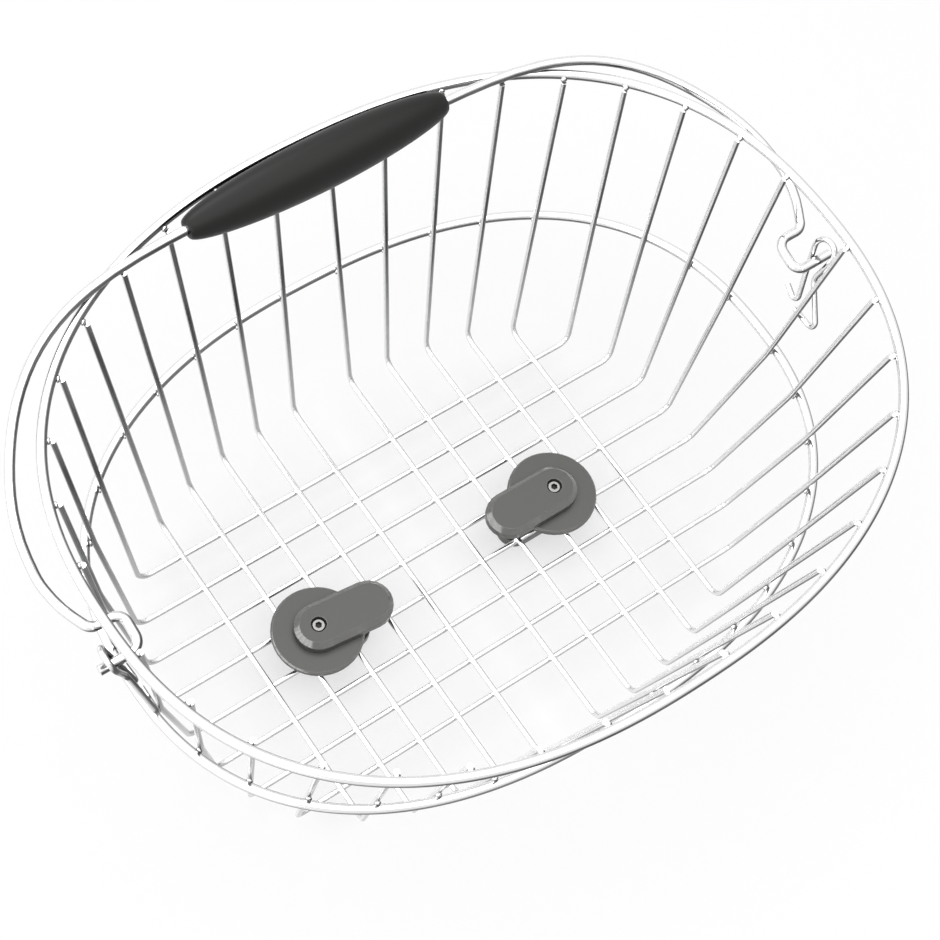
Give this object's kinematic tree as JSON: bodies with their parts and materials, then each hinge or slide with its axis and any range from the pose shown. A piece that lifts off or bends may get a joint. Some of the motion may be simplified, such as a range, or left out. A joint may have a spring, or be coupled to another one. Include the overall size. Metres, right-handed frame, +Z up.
{
  "type": "bicycle rack basket",
  "caption": "Oval welded-wire basket with a swinging carry handle and a spindle grip, held on the rods of a bicycle's rear rack by turn-lever clamps in its floor.",
  "frame": {"origin": "midway between the two rack rods, on the plane where the rods' tops meet the basket's floor wires", "axes": "+X to the rider's left, +Y to the bicycle's rear, +Z up"},
  "size_m": [0.4384, 0.335, 0.2285],
  "materials": {
    "bright_wire": "bright plated steel wire",
    "soft_black_grip": "soft matte black",
    "grey_clamp_plastic": "moulded mid-grey, fine texture",
    "screw_steel": "zinc-plated screw"
  },
  "bodies": {
    "basket": {"cross_wire_1": "bright_wire", "cross_wire_2": "bright_wire", "cross_wire_3": "bright_wire", "cross_wire_4": "bright_wire", "cross_wire_5": "bright_wire", "cross_wire_6": "bright_wire", "cross_wire_7": "bright_wire", "cross_wire_8": "bright_wire", "long_wire_1": "bright_wire", "long_wire_2": "bright_wire", "long_wire_3": "bright_wire", "long_wire_4": "bright_wire", "long_wire_5": "bright_wire", "long_wire_6": "bright_wire", "long_wire_7": "bright_wire", "long_wire_8": "bright_wire", "long_wire_9": "bright_wire", "long_wire_10": "bright_wire", "rim_ring": "bright_wire", "mid_ring": "bright_wire", "left_handle_eye": "bright_wire", "right_handle_eye": "bright_wire", "left_clamp_disc": "grey_clamp_plastic", "right_clamp_disc": "grey_clamp_plastic"},
    "handle": {"handle_bail": "bright_wire", "handle_grip": "soft_black_grip"},
    "left_turn": {"left_clamp_lever": "grey_clamp_plastic", "left_clamp_claw": "grey_clamp_plastic", "left_clamp_screw": "screw_steel", "left_clamp_nut": "screw_steel"},
    "right_turn": {"right_clamp_lever": "grey_clamp_plastic", "right_clamp_claw": "grey_clamp_plastic", "right_clamp_screw": "screw_steel", "right_clamp_nut": "screw_steel"}
  },
  "joints": [
    {"name": "handle_swing", "type": "hinge", "parent": "basket", "child": "handle", "pos_m": [0, -0.0105, 0.1585], "axis": [1, 0, 0], "range_deg": [0, 95]},
    {"name": "left_clamp_turn", "type": "hinge", "parent": "basket", "child": "left_turn", "pos_m": [0.074, 0, 0], "axis": [0, 0, -1], "range_deg": [0, 90]},
    {"name": "right_clamp_turn", "type": "hinge", "parent": "basket", "child": "right_turn", "pos_m": [-0.0805, 0, 0], "axis": [0, 0, 1], "range_deg": [0, 90]}
  ]
}
